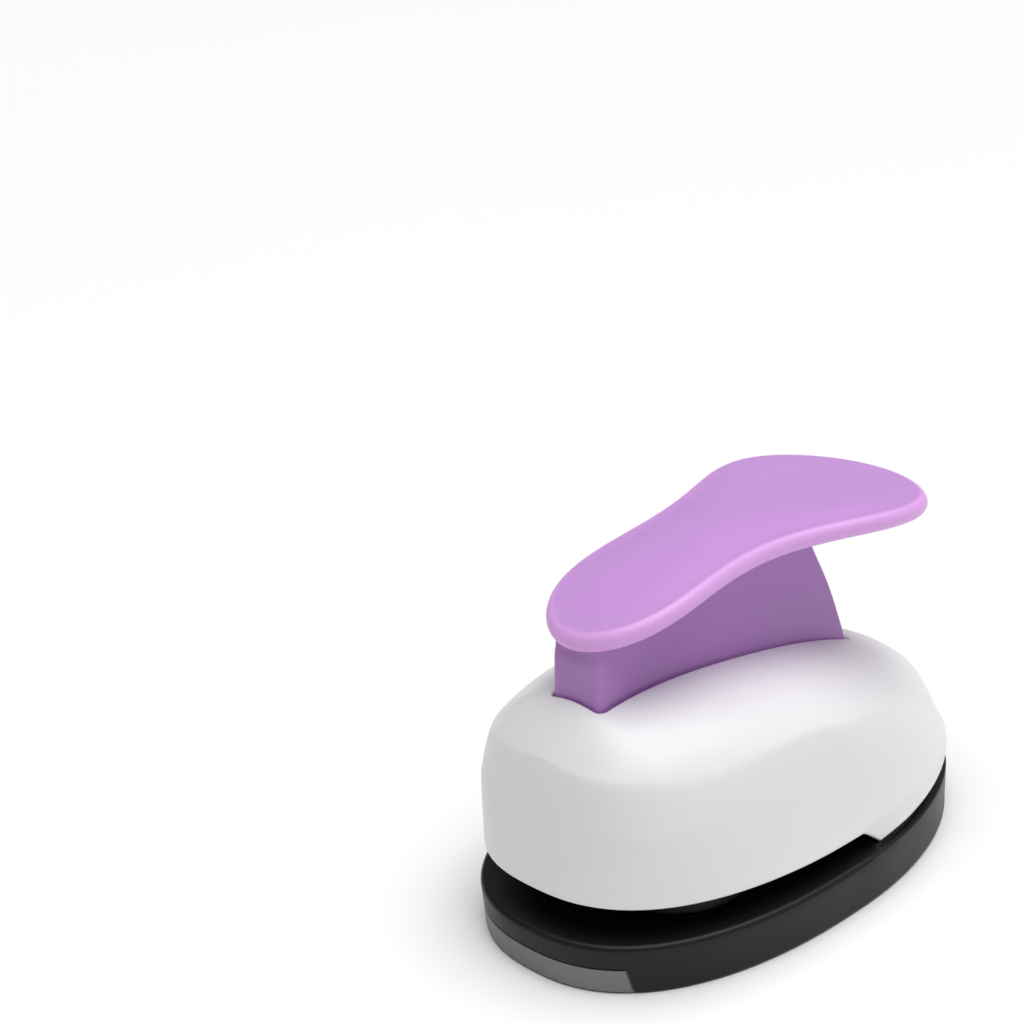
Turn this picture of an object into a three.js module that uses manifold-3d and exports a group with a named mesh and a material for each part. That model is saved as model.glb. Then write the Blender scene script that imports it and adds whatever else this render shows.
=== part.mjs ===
// A lever-operated craft punch that cuts 25 mm scalloped discs out of paper.
// Millimetres, +Z up. The origin is on the table under the middle of the oval body, the paper slot
// opens towards -Y, and the punch is symmetric about the YZ plane.
import * as THREE from "three";
import { mergeVertices } from "three/addons/utils/BufferGeometryUtils.js";
import Module from "manifold-3d";

const wasm = await Module();
wasm.setup();

// ---------------------------------------------------------------- driving dimensions
const BODY = { halfLength: 45, halfWidth: 27.9, front: 2.42, rear: 2, egg: 0.038 }; // outline of the base
const WALL = 2.2; // casing wall
const GAP = 0.3; // between pieces that are fitted to each other
const FIT = 0.05; // between pieces that are clamped together
const SIDES = 40; // points round a casing outline

const DECK_Z = 8; // top of the base where paper slides
const SEAM = { start: 8.4, slope: 0.087, recess: 0.9, gap: 0.2 }; // the base meets the cover, behind the slot
const STEP = { start: 0, end: 3.5 }; // the slot ends in a ramp between these two places along Y

const COVER = { halfLength: 43.6, halfWidth: 26.6, front: 2.43, rear: 2.32 };
const RIM = { atFront: 13.7, atStep: 11.8 }; // height of the cover's lower edge along the slot
// The cover's walls lean in above wall.bottom, and the dome is laid over them.
const LEAN = { bottom: 12.6, rise: 14.4, length: 2.16, width: 2.69, bend: 0.84, front: 3.11, rear: 1.66 };
const DOME = { halfLength: 53, halfWidth: 30.2, front: 1.66, rear: 1.72, shiftY: -1.85, bend: 2.99 };
const DOME_FOOT = { z: 10.8, slope: -0.177 };
const DOME_TOP = { z: 36.4, slope: -0.185 };
const BROW = { depth: 7.43, y: -31.4, halfWidth: 25.9, bend: 1.53 }; // the dome falls away at the front
const BLEND = { width: 3.6, front: 0.25, rear: 0.04 }; // the walls run into the dome over this height

const PIVOT = { y: -29, z: 19 }; // the lever's hinge, inside the front of the cover
const LEVER_RADIUS = 55.2; // the rear of the lever's skirt is an arc about the pivot
const SKIRT = { front: -31.6, halfWidth: 5.3, wall: 1.8, bottomZ: 25.3 };
const PRESS = { y: -12, z: 27.6, radius: 1.5 }; // pin that pushes the plunger down
const PAD = { middleY: 3.63, halfLength: 36.05, thickness: 3, edgeRadius: 1.45, crown: 0.9 };

const CUT = { y: -12, radius: 12.5, lobes: 24, clearance: 0.08 }; // the scalloped disc
const DIE = { halfWidth: 18.5, front: -30, rear: 19.5, bottom: 6, top: 8 };
const GUIDE = { halfWidth: 20.5, front: -33.5, bottom: 9.4, top: 11.4 };
const SPACER_FRONT = 6; // paper stops here
const FRAME = { bottom: 12.3, top: 14.2 }; // the inner frame under the cover
const POST = { x: 16, radius: 1.5 };
const CUTTER = { bottom: 9.7, top: 20 };
const PLUNGER = { top: 22.9, screwReach: 7, ribReach: 4 };
const ARM = { bottom: 22.4, top: 25.6, inner: 8.5 }; // the plunger's two arms
const TRAY = { halfWidth: 15.6, slant: 0.7, box: 14.9, front: -38.2, rear: 5.4, floor: 0.3, top: 4 };
// The tongues stop the tray from coming right out.
const TONGUE = { reach: 1.2, front: -4, stop: -34, bottom: 1.3, top: 2.1 };
const REAR_FLOOR = { front: 20.8, thickness: 1.8 };
const FOOT_Z = 9.25; // the inner frame's rear foot stands on the base's bosses
const RIVET = { x: 14.6, rows: [9.6, 16], radius: 1.6, head: 2.6 };
const REAR_SCREW = { x: 12, y: 31 };
const FRONT_SCREW = { x: 8.5, y: -37 };
const BRACKET_SCREW = { x: 10, y: -30 };

const COLOUR = {
  cover: new THREE.MeshStandardMaterial({ color: 0xf1f1f2, roughness: 0.42, metalness: 0 }),
  base: new THREE.MeshStandardMaterial({ color: 0x1d1d1f, roughness: 0.38, metalness: 0 }),
  lever: new THREE.MeshStandardMaterial({ color: 0xcf98e2, roughness: 0.4, metalness: 0 }),
  tray: new THREE.MeshStandardMaterial({ color: 0x6f6f72, roughness: 0.5, metalness: 0 }),
  steel: new THREE.MeshStandardMaterial({ color: 0xb9bcc0, roughness: 0.32, metalness: 1 }),
  dark: new THREE.MeshStandardMaterial({ color: 0x2b2c2e, roughness: 0.45, metalness: 0.9 }),
  zinc: new THREE.MeshStandardMaterial({ color: 0x8f9296, roughness: 0.5, metalness: 1 }),
};

// ---------------------------------------------------------------- solids
// A closed geometry as a manifold-3d solid, which join, cut and common work on.
function solid(geometry) {
  const bare = geometry.clone();
  for (const name of Object.keys(bare.attributes)) if (name !== "position") bare.deleteAttribute(name);
  const merged = mergeVertices(bare, 1e-4);
  return new wasm.Manifold(
    new wasm.Mesh({
      numProp: 3,
      vertProperties: new Float32Array(merged.attributes.position.array),
      triVerts: new Uint32Array(merged.index.array),
    }),
  );
}

const join = (first, ...rest) => rest.reduce((sum, next) => sum.add(next), first);
const cut = (first, ...rest) => rest.reduce((sum, next) => sum.subtract(next), first);

function geometryOf(made) {
  const mesh = made.getMesh();
  const geometry = new THREE.BufferGeometry();
  geometry.setAttribute("position", new THREE.BufferAttribute(new Float32Array(mesh.vertProperties), 3));
  geometry.setIndex(new THREE.BufferAttribute(new Uint32Array(mesh.triVerts), 1));
  geometry.computeVertexNormals();
  return geometry;
}

// A stack of rings with the same number of points, closed by a fan at each end.
function loft(rings) {
  const count = rings[0].length;
  const points = rings.flat();
  const triangles = [];
  for (let ring = 0; ring + 1 < rings.length; ring++) {
    for (let i = 0; i < count; i++) {
      const a = ring * count + i;
      const b = ring * count + ((i + 1) % count);
      triangles.push(a, b, b + count, a, b + count, a + count);
    }
  }
  const middle = (ring) => ring.reduce((sum, p) => sum.add(p), new THREE.Vector3()).divideScalar(count);
  const top = (rings.length - 1) * count;
  points.push(middle(rings[0]), middle(rings.at(-1)));
  for (let i = 0; i < count; i++) {
    const next = (i + 1) % count;
    triangles.push(points.length - 2, next, i);
    triangles.push(points.length - 1, top + i, top + next);
  }
  const geometry = new THREE.BufferGeometry().setFromPoints(points);
  geometry.setIndex(triangles);
  return solid(geometry);
}

// A flat outline pushed up from one height to another.
function slab(shape, bottom, top, curveSegments = 8) {
  const geometry = new THREE.ExtrudeGeometry(shape, {
    depth: top - bottom,
    bevelEnabled: false,
    curveSegments,
  });
  return solid(geometry.translate(0, 0, bottom));
}

// A side profile, given as [y, z] points, pushed through from -halfWidth to +halfWidth along X.
function sideSlab(points, halfWidth) {
  const shape = new THREE.Shape(points.map(([y, z]) => new THREE.Vector2(y, z)));
  const geometry = new THREE.ExtrudeGeometry(shape, { depth: 2 * halfWidth, bevelEnabled: false });
  const turn = new THREE.Matrix4().makeBasis(
    new THREE.Vector3(0, 1, 0),
    new THREE.Vector3(0, 0, 1),
    new THREE.Vector3(1, 0, 0),
  );
  return solid(geometry.applyMatrix4(turn).translate(-halfWidth, 0, 0));
}

function block(x0, x1, y0, y1, z0, z1) {
  const geometry = new THREE.BoxGeometry(x1 - x0, y1 - y0, z1 - z0);
  return solid(geometry.translate((x0 + x1) / 2, (y0 + y1) / 2, (z0 + z1) / 2));
}

// An upright round solid from [radius, height] corners of its outer profile.
function turned(profile, x = 0, y = 0, segments = 14) {
  const points = [[0, profile[0][1]], ...profile, [0, profile.at(-1)[1]]];
  const lathe = new THREE.LatheGeometry(
    points.map(([r, z]) => new THREE.Vector2(r, z)),
    segments,
  );
  return solid(lathe.rotateX(Math.PI / 2).translate(x, y, 0));
}

const rod = (radius, bottom, top, x = 0, y = 0, segments = 14) =>
  turned([[radius, bottom], [radius, top]], x, y, segments);

// A pin along X.
function crossPin(radius, halfLength, y, z) {
  const geometry = new THREE.CylinderGeometry(radius, radius, 2 * halfLength, 18);
  return solid(geometry.rotateZ(Math.PI / 2).translate(0, y, z));
}

// ---------------------------------------------------------------- outlines
// How far a place in plan is out from the middle of a superellipse, which is 1 on the curve itself. Its
// front and rear halves have their own powers.
function share(x, y, { halfLength, halfWidth, front, rear }) {
  const power = y < 0 ? front : rear;
  return (Math.abs(x / halfWidth) ** power + Math.abs(y / halfLength) ** power) ** (1 / power);
}

// Such a superellipse, long along Y, as points anticlockwise from +X. egg widens it towards the rear.
function oval(shape, egg = 0) {
  return Array.from({ length: SIDES }, (_, i) => {
    const angle = (2 * Math.PI * i) / SIDES;
    const [c, s] = [Math.cos(angle), Math.sin(angle)];
    const reach = 1 / share(c, s, shape);
    return new THREE.Vector2(reach * c * (1 + (egg * reach * s) / shape.halfLength), reach * s);
  });
}

const inside = (shape, inset) => ({
  ...shape,
  halfLength: shape.halfLength - inset,
  halfWidth: shape.halfWidth - inset,
});

const ring = (outline, height) =>
  outline.map((p) => new THREE.Vector3(p.x, p.y, typeof height === "function" ? height(p) : height));

const bodyOval = (inset) => oval(inside(BODY, inset), BODY.egg);

const seamZ = (p) => SEAM.start + SEAM.slope * (p.y - STEP.end);

function roundedRectangle(x0, x1, y0, y1, radius) {
  const shape = new THREE.Shape();
  shape.absarc(x1 - radius, y0 + radius, radius, -Math.PI / 2, 0);
  shape.absarc(x1 - radius, y1 - radius, radius, 0, Math.PI / 2);
  shape.absarc(x0 + radius, y1 - radius, radius, Math.PI / 2, Math.PI);
  shape.absarc(x0 + radius, y0 + radius, radius, Math.PI, 1.5 * Math.PI);
  return shape;
}

// The cut disc: arcs that bulge out between the points where they meet.
function scallop(grow = 0) {
  const half = Math.PI / CUT.lobes;
  const valley = CUT.radius - 0.95;
  const lobe = valley * Math.sin(half) * 1.06;
  const centre = valley * Math.cos(half);
  const shape = new THREE.Shape();
  for (let i = 0; i < CUT.lobes; i++) {
    const angle = 2 * half * i;
    const open = Math.PI / 2 + 0.12;
    shape.absarc(
      (centre + grow) * Math.cos(angle),
      CUT.y + (centre + grow) * Math.sin(angle),
      lobe,
      angle - open + 0.35,
      angle + open - 0.35,
    );
  }
  return shape;
}

// ---------------------------------------------------------------- base
const footRings = [
  [1.3, 0],
  [0.85, 0.45],
  [0.55, 1.3],
  [0.35, 2.5],
];

function baseOuter() {
  const front = loft([...footRings, [0, DECK_Z - 0.9], [0.3, DECK_Z - 0.3], [1, DECK_Z]].map(
    ([inset, z]) => ring(bodyOval(inset), z),
  ));
  // behind the slot the wall stops short of the cover, and a narrower rim fills the joint
  const step = (p) => seamZ(p) - SEAM.recess - SEAM.gap;
  const rear = loft([
    ...footRings.map(([inset, z]) => ring(bodyOval(inset), z)),
    ring(bodyOval(0), step),
    ring(bodyOval(0.9), step),
    ring(bodyOval(0.9), (p) => seamZ(p) - SEAM.gap),
  ]);
  const behindSlot = sideSlab(
    [
      [STEP.start, -1],
      [60, -1],
      [60, 20],
      [STEP.end, 20],
      [STEP.end, SEAM.start],
      [STEP.start, DECK_Z - 0.6],
    ],
    40,
  );
  return join(front, rear.intersect(behindSlot));
}

// The opening that the tray's front fills, wider at the bottom. grow is the gap round it.
function trayWindow(grow) {
  const top = TRAY.top;
  const low = TRAY.halfWidth + grow;
  const high = low - TRAY.slant;
  const shape = new THREE.Shape(
    [[-low, -1], [low, -1], [high, top + grow], [-high, top + grow]].map(([x, z]) => new THREE.Vector2(x, z)),
  );
  const geometry = new THREE.ExtrudeGeometry(shape, { depth: 20, bevelEnabled: false });
  return solid(geometry.rotateX(Math.PI / 2).translate(0, -32, 0));
}

function baseShell() {
  const channelX = TRAY.box + GAP;
  const back = TRAY.rear + GAP;
  const channel = block(-channelX, channelX, TRAY.front, back, -1, TRAY.top + GAP);
  const grooveX = channelX + TONGUE.reach;
  const groove = block(-grooveX, grooveX, TONGUE.stop, back, TONGUE.bottom - 0.2, TONGUE.top + 0.2);
  const rails = block(-grooveX - 1.7, grooveX + 1.7, -60, TRAY.rear + 2, -2, 6);
  const underside = loft([[2.6, -1], [WALL + 0.3, 4.4]].map(([inset, z]) => ring(bodyOval(inset), z)));
  const aheadOfFloor = block(-40, 40, -60, REAR_FLOOR.front - WALL, -2, 6);
  const hollow = loft([ring(bodyOval(WALL + 0.2), REAR_FLOOR.thickness), ring(bodyOval(WALL + 0.2), 20)]);
  const behindPlates = block(-40, 40, REAR_FLOOR.front, 60, 0, 20);
  const corner = DIE.halfWidth + 0.2;
  const pocket = slab(
    roundedRectangle(-corner, corner, DIE.front - 0.2, DIE.rear + 0.2, 6.2),
    DIE.bottom - FIT,
    20,
  );
  let shell = cut(
    baseOuter(),
    cut(underside, rails).intersect(aheadOfFloor),
    hollow.intersect(behindPlates),
    channel,
    groove,
    trayWindow(GAP),
    pocket,
    rod(13.8, -2, 10, 0, CUT.y, 40),
  );
  for (const side of [-1, 1]) {
    const [x, y] = [side * REAR_SCREW.x, REAR_SCREW.y];
    const screwHole = turned([[3.1, -1], [3.1, 2.6], [1.8, 2.6], [1.8, 12]], x, y);
    shell = cut(join(shell, rod(4.2, 0, FOOT_Z - FIT, x, y)), screwHole);
    for (const y of RIVET.rows) {
      shell = cut(shell, rod(RIVET.head + GAP, 5.1, 8, side * RIVET.x, y));
    }
  }
  return shell;
}

// ---------------------------------------------------------------- metal cutting set
function plate(halfWidth, front, bottom, top, cornerRadius, openings) {
  const shape = roundedRectangle(-halfWidth, halfWidth, front, DIE.rear, cornerRadius);
  return cut(slab(shape, bottom, top), ...openings);
}

function rivetHoles() {
  return [-1, 1].flatMap((side) =>
    RIVET.rows.map((y) => rod(RIVET.radius + FIT, 4, 13, side * RIVET.x, y)),
  );
}

const dieHole = () => slab(scallop(CUT.clearance), 0, 20, 2);

const diePlate = () =>
  plate(DIE.halfWidth, DIE.front, DIE.bottom, DIE.top, 6, [dieHole(), ...rivetHoles()]);

function guidePlate() {
  const holes = [dieHole(), ...rivetHoles()];
  for (const side of [-1, 1]) {
    holes.push(rod(1.15, 0, 20, side * POST.x, CUT.y));
    holes.push(rod(1.25, 0, 20, side * BRACKET_SCREW.x, BRACKET_SCREW.y));
  }
  return plate(GUIDE.halfWidth, GUIDE.front, GUIDE.bottom, GUIDE.top, 12, holes);
}

function throatSpacer() {
  const [bottom, top] = [DIE.top + FIT, GUIDE.bottom - FIT];
  const shape = roundedRectangle(-DIE.halfWidth, DIE.halfWidth, SPACER_FRONT, DIE.rear, 6);
  return cut(slab(shape, bottom, top), ...rivetHoles());
}

const rivet = (side, y) =>
  turned(
    [
      [RIVET.head - 0.5, DIE.bottom - 0.7],
      [RIVET.head, DIE.bottom - FIT],
      [RIVET.radius, DIE.bottom - FIT],
      [RIVET.radius, GUIDE.top + FIT],
      [RIVET.head, GUIDE.top + FIT],
      [RIVET.head - 0.5, GUIDE.top + 0.75],
    ],
    side * RIVET.x,
    y,
  );

// Riveted into the guide plate; its head stops the plunger's arm.
function guidePost(side) {
  const headZ = ARM.top + 0.1;
  const profile = [
    [1.1, GUIDE.bottom + FIT],
    [1.1, GUIDE.top + FIT],
    [POST.radius, GUIDE.top + FIT],
    [POST.radius, headZ],
    [POST.radius + 0.9, headZ],
    [POST.radius + 0.9, headZ + 0.8],
    [POST.radius, headZ + 1.2],
  ];
  return turned(profile, side * POST.x, CUT.y);
}

class Helix extends THREE.Curve {
  constructor(radius, bottom, top, turns) {
    super();
    Object.assign(this, { radius, bottom, top, turns });
  }
  getPoint(t, target = new THREE.Vector3()) {
    const angle = 2 * Math.PI * this.turns * t;
    const z = this.bottom + (this.top - this.bottom) * t;
    return target.set(this.radius * Math.cos(angle), this.radius * Math.sin(angle), z);
  }
}

function returnSpring(side) {
  const wire = 0.35;
  const path = new Helix(2.25, FRAME.top + wire + 0.12, ARM.bottom - wire - 0.12, 4.5);
  const section = new THREE.Shape().absarc(0, 0, wire, 0, 2 * Math.PI);
  const geometry = new THREE.ExtrudeGeometry(section, {
    steps: 44,
    curveSegments: 3,
    bevelEnabled: false,
    extrudePath: path,
  });
  return solid(geometry.translate(side * POST.x, CUT.y, 0));
}

// ---------------------------------------------------------------- moving cutter
const cutterScrewPlaces = [-1, 1].map((side) => CUT.y + side * PLUNGER.screwReach);

function cutter() {
  const tapped = cutterScrewPlaces.map((y) => rod(1.3, CUTTER.top - 6, CUTTER.top + 1, 0, y));
  return cut(slab(scallop(), CUTTER.bottom, CUTTER.top, 2), ...tapped);
}

function plunger() {
  const low = CUTTER.top + FIT;
  const saddle = block(-7, 7, CUT.y - 10.6, CUT.y + 10.6, low, PLUNGER.top);
  const bar = block(-12, 12, CUT.y - 3.2, CUT.y + 3.2, low, PLUNGER.top);
  const reach = PLUNGER.ribReach;
  const rib = block(-3, 3, CUT.y - reach, CUT.y + reach, PLUNGER.top - 1, PRESS.z - PRESS.radius - 0.1);
  let made = join(saddle, bar, rib);
  for (const side of [-1, 1]) {
    const near = Math.min(side * ARM.inner, side * 12);
    const far = Math.min(side * ARM.inner, side * POST.x);
    const riser = block(near, near + 3.5, CUT.y - 3.2, CUT.y + 3.2, low, ARM.top);
    const arm = block(far, far + POST.x - ARM.inner, CUT.y - 3.2, CUT.y + 3.2, ARM.bottom, ARM.top);
    const eye = rod(3.2, ARM.bottom, ARM.top, side * POST.x, CUT.y);
    made = cut(join(made, riser, arm, eye), rod(POST.radius + 0.12, 0, 40, side * POST.x, CUT.y));
  }
  const seats = cutterScrewPlaces.map((y) => turned([[1.6, 0], [1.6, 21.4], [2.9, 21.4], [2.9, 40]], 0, y));
  return cut(made, ...seats);
}

// A round-headed screw pointing down from under its head, or up when flipped.
function screw(x, y, tip, seat, headTop, radius, headRadius) {
  const profile = tip < seat
    ? [[radius / 2, tip], [radius, tip + 0.8], [radius, seat], [headRadius, seat], [headRadius * 0.8, headTop]]
    : [[headRadius * 0.8, headTop], [headRadius, seat], [radius, seat], [radius, tip - 0.8], [radius / 2, tip]];
  const made = turned(profile, x, y);
  const slotZ = tip < seat ? [headTop - 0.5, headTop + 1] : [headTop - 1, headTop + 0.5];
  const cross = [
    block(x - headRadius * 0.6, x + headRadius * 0.6, y - 0.25, y + 0.25, ...slotZ),
    block(x - 0.25, x + 0.25, y - headRadius * 0.6, y + headRadius * 0.6, ...slotZ),
  ];
  return cut(made, ...cross);
}

// ---------------------------------------------------------------- upper frame and pivot
function upperFrame() {
  const inCover = coverSurface(WALL + 2 * GAP, FOOT_Z, 4);
  const foot = block(-40, 40, 24, 60, FOOT_Z - 1, FRAME.top);
  let made = inCover.intersect(join(block(-40, 40, -60, 60, FRAME.bottom, FRAME.top), foot));
  made = cut(made, block(-6.3, 6.3, 14.5, 27.2, 0, 20), rod(13.3, 0, 20, 0, CUT.y, 40));
  for (const side of [-1, 1]) {
    const frontHead = [[2.7, 0], [2.7, FRAME.bottom + 1.1], [1.5, FRAME.bottom + 1.1], [1.5, 20]];
    const spacer = rod(2.6, GUIDE.top + FIT, FRAME.top, side * BRACKET_SCREW.x, BRACKET_SCREW.y);
    made = cut(
      join(made, spacer),
      rod(POST.radius + 0.2, 0, 20, side * POST.x, CUT.y),
      rod(1.25, 0, 20, side * BRACKET_SCREW.x, BRACKET_SCREW.y),
      rod(1.8, 0, 20, side * REAR_SCREW.x, REAR_SCREW.y),
      turned(frontHead, side * FRONT_SCREW.x, FRONT_SCREW.y),
    );
  }
  return made;
}

function pivotBracket() {
  const bottom = FRAME.top + FIT;
  const sheet = 1;
  const ear = { inner: 6.1, outer: 7.3, top: PIVOT.z + 3.4 };
  const shape = roundedRectangle(-12.6, 12.6, -34, -26, 2.5);
  let made = slab(shape, bottom, bottom + sheet);
  const upright = new THREE.Shape();
  upright.moveTo(PIVOT.y - 4, bottom);
  upright.lineTo(PIVOT.y + 3, bottom);
  upright.absarc(PIVOT.y, PIVOT.z, 3.4, 0, Math.PI);
  upright.lineTo(PIVOT.y - 4, bottom);
  const points = upright.getPoints(10).map((p) => [p.x, p.y]);
  const pair = cut(sideSlab(points, ear.outer), block(-ear.inner, ear.inner, -50, 0, 0, 40));
  made = join(made, pair);
  made = cut(made, crossPin(1.65, 20, PIVOT.y, PIVOT.z));
  for (const side of [-1, 1]) {
    made = cut(made, rod(1.25, 0, 40, side * BRACKET_SCREW.x, BRACKET_SCREW.y));
  }
  return made;
}

function pivotPin() {
  const half = 8.6;
  const groove = 0.5;
  const made = crossPin(1.6, half, PIVOT.y, PIVOT.z);
  const necks = [-1, 1].map((side) => {
    const neck = new THREE.CylinderGeometry(1.2, 1.2, groove, 18);
    const collar = new THREE.CylinderGeometry(3, 3, groove, 18);
    const place = (g) => solid(g.rotateZ(Math.PI / 2).translate(side * 7.9, PIVOT.y, PIVOT.z));
    return cut(place(collar), place(neck));
  });
  return cut(made, ...necks);
}

// A spring ring that sits in the pin's groove, open at the bottom.
function pivotClip(side) {
  const thick = 0.4;
  const disc = new THREE.CylinderGeometry(2.6, 2.6, thick, 18);
  const hole = new THREE.CylinderGeometry(1.25, 1.25, 2, 18);
  const place = (g) => solid(g.rotateZ(Math.PI / 2).translate(side * 7.9, PIVOT.y, PIVOT.z));
  const mouth = block(-20, 20, PIVOT.y - 0.9, PIVOT.y + 0.9, 0, PIVOT.z);
  return cut(place(disc), place(hole), mouth);
}

// ---------------------------------------------------------------- cover
// Height of the cover's surface, pulled in by thickness, over a place in plan.
function coverZ(x, y, thickness) {
  const outline = (up) => {
    const lean = up ** LEAN.bend;
    return {
      halfLength: COVER.halfLength - thickness - LEAN.length * lean,
      halfWidth: COVER.halfWidth - thickness - LEAN.width * lean,
      front: COVER.front + (LEAN.front - COVER.front) * Math.min(up, 1),
      rear: COVER.rear + (LEAN.rear - COVER.rear) * Math.min(up, 1),
    };
  };
  let [low, high] = [0, 3];
  for (let step = 0; step < 24; step++) {
    const middle = (low + high) / 2;
    if (share(x, y, outline(middle)) < 1) low = middle;
    else high = middle;
  }
  const wall = LEAN.bottom + LEAN.rise * low;
  const out = Math.min(1, share(x, y - DOME.shiftY, inside(DOME, thickness)));
  const foot = DOME_FOOT.z - thickness + DOME_FOOT.slope * y;
  const top = DOME_TOP.z - thickness + DOME_TOP.slope * y;
  const brow = Math.max(0, (BROW.y - y) / 10) ** BROW.bend * Math.max(0, 1 - (x / BROW.halfWidth) ** 2) ** 2;
  const dome = foot + (top - foot) * Math.sqrt(1 - out ** DOME.bend) - BROW.depth * brow;
  const soft = BLEND.width - (y < 0 ? BLEND.front : BLEND.rear) * y;
  const near = Math.max(0, 1 - Math.abs(wall - dome) / soft);
  return Math.min(wall, dome) - (near ** 2 * soft) / 4;
}

// The solid under that surface, from a flat bottom up. Its rings are evenly spaced up the surface.
function coverSurface(thickness, bottom, rings = 8) {
  const outline = oval(inside(COVER, thickness));
  const fine = 60;
  const columns = outline.map((edge) => {
    const line = [];
    for (let i = 0; i <= fine; i++) {
      const p = edge.clone().multiplyScalar(1 - 0.94 * (i / fine) ** 1.5);
      line.push(new THREE.Vector3(p.x, p.y, Math.max(bottom + 0.5, coverZ(p.x, p.y, thickness))));
    }
    line[0].z = Math.min(line[0].z, LEAN.bottom);
    return new THREE.CatmullRomCurve3(line, false, "catmullrom", 0).getSpacedPoints(rings);
  });
  const levels = Array.from({ length: rings + 1 }, (_, level) => columns.map((column) => column[level]));
  return loft([ring(outline, bottom), ...levels]);
}

function topCover() {
  const outer = coverSurface(0, SEAM.start - 1, 11);
  const inner = coverSurface(WALL, SEAM.start - 2);
  const below = sideSlab(
    [
      [-60, 0],
      [60, 0],
      [60, seamZ({ y: 60 })],
      [STEP.end + 0.2, seamZ({ y: STEP.end + 0.2 })],
      [STEP.start + 0.2, RIM.atStep],
      [-BODY.halfLength, RIM.atFront],
      [-60, RIM.atFront + 0.7],
    ],
    40,
  );
  const rear = PIVOT.y + LEVER_RADIUS + 0.4;
  const mouth = slab(
    roundedRectangle(-SKIRT.halfWidth - 0.5, SKIRT.halfWidth + 0.5, SKIRT.front - 0.7, rear, 1.4),
    18,
    60,
  );
  let made = cut(outer, inner);
  const bosses = [];
  const holes = [];
  for (const side of [-1, 1]) {
    bosses.push(rod(3.4, FRAME.top + FIT, 40, side * REAR_SCREW.x, REAR_SCREW.y));
    bosses.push(rod(2.9, FRAME.top + FIT, 40, side * FRONT_SCREW.x, FRONT_SCREW.y));
    holes.push(rod(1.55, 0, 20.5, side * REAR_SCREW.x, REAR_SCREW.y));
    holes.push(rod(1.25, 0, 20.5, side * FRONT_SCREW.x, FRONT_SCREW.y));
  }
  for (const boss of bosses) made = join(made, boss.intersect(outer));
  return cut(made, below, mouth, ...holes);
}

// ---------------------------------------------------------------- lever
// Half the pad's width and the height of its edge, at t from -1 at the front to 1 at the rear.
const padHalfWidth = (t) =>
  (12.5 + 8.3 * t + 20.8 * t ** 2 - 2.9 * t ** 3 - 9.4 * t ** 4) * Math.sqrt(1 - t * t);
const padEdgeZ = (t) => 56.3 + 0.35 * t - 3.8 * t ** 2 + 1.85 * t ** 3;

function padOutline(inset) {
  const count = 52;
  const points = Array.from({ length: count }, (_, i) => {
    const t = -Math.cos((2 * Math.PI * i) / count);
    const side = i <= count / 2 ? 1 : -1;
    const halfWidth = padHalfWidth(Math.min(1, Math.max(-1, t)));
    return new THREE.Vector2(side * halfWidth, PAD.middleY + PAD.halfLength * t);
  });
  return points.map((p, i) => {
    const along = points[(i + 1) % count].clone().sub(points[(i + count - 1) % count]).normalize();
    return new THREE.Vector2(p.x - along.y * inset, p.y + along.x * inset);
  });
}

// The thumb pad: a thin shell-like slab, arched along its length, with a rounded edge all round.
function thumbPad() {
  const lift = (p, share) => {
    const t = Math.min(1, Math.max(-1, (p.y - PAD.middleY) / PAD.halfLength));
    return padEdgeZ(t) + PAD.crown * (1 - share * share);
  };
  const shrunk = (share) =>
    padOutline(PAD.edgeRadius).map(
      (p) => new THREE.Vector2(p.x * share, PAD.middleY + (p.y - PAD.middleY) * share),
    );
  const rings = [];
  const half = PAD.thickness / 2;
  for (const share of [0.4, 0.8]) rings.push(ring(shrunk(share), (p) => lift(p, share) - PAD.thickness));
  for (let i = 0; i <= 5; i++) {
    const angle = -Math.PI / 2 + (Math.PI * i) / 5;
    const outline = padOutline(PAD.edgeRadius * (1 - Math.cos(angle)));
    rings.push(ring(outline, (p) => lift(p, 1) - half + half * Math.sin(angle)));
  }
  for (const share of [0.8, 0.4]) rings.push(ring(shrunk(share), (p) => lift(p, share)));
  return loft(rings);
}

// The skirt's side profile, up into the pad. inset shrinks it to the hollow, which is open below.
function skirtProfile(inset) {
  const radius = LEVER_RADIUS - inset;
  const lug = 3.4;
  const points = [[SKIRT.front + inset, 42]];
  if (inset > 0) {
    points.push([PIVOT.y - lug + inset, 28], [PIVOT.y - lug + inset, 0], [PIVOT.y + radius - 0.2, 0]);
  } else {
    for (let i = 0; i <= 8; i++) {
      const angle = Math.PI * (1 + i / 8);
      points.push([PIVOT.y + lug * Math.cos(angle), PIVOT.z + lug * Math.sin(angle)]);
    }
    points.push([-24.6, 22], [-20.5, 24.6], [PRESS.y + 5, 24.6], [PRESS.y + 10, 26.5], [8, 26.5]);
  }
  const start = Math.asin((SKIRT.bottomZ - PIVOT.z) / radius);
  const end = Math.asin((52 - PIVOT.z) / radius);
  for (let i = 0; i <= 10; i++) {
    const angle = start + ((end - start) * i) / 10;
    points.push([PIVOT.y + radius * Math.cos(angle), PIVOT.z + radius * Math.sin(angle)]);
  }
  const [rearY, frontY] = [points.at(-1)[0] - 0.3, SKIRT.front + inset + 0.2];
  for (let i = 0; i <= 8; i++) {
    const y = rearY + ((frontY - rearY) * i) / 8;
    points.push([y, padEdgeZ((y - PAD.middleY) / PAD.halfLength) - (inset > 0 ? 3.2 : 1.2)]);
  }
  return points;
}

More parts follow.
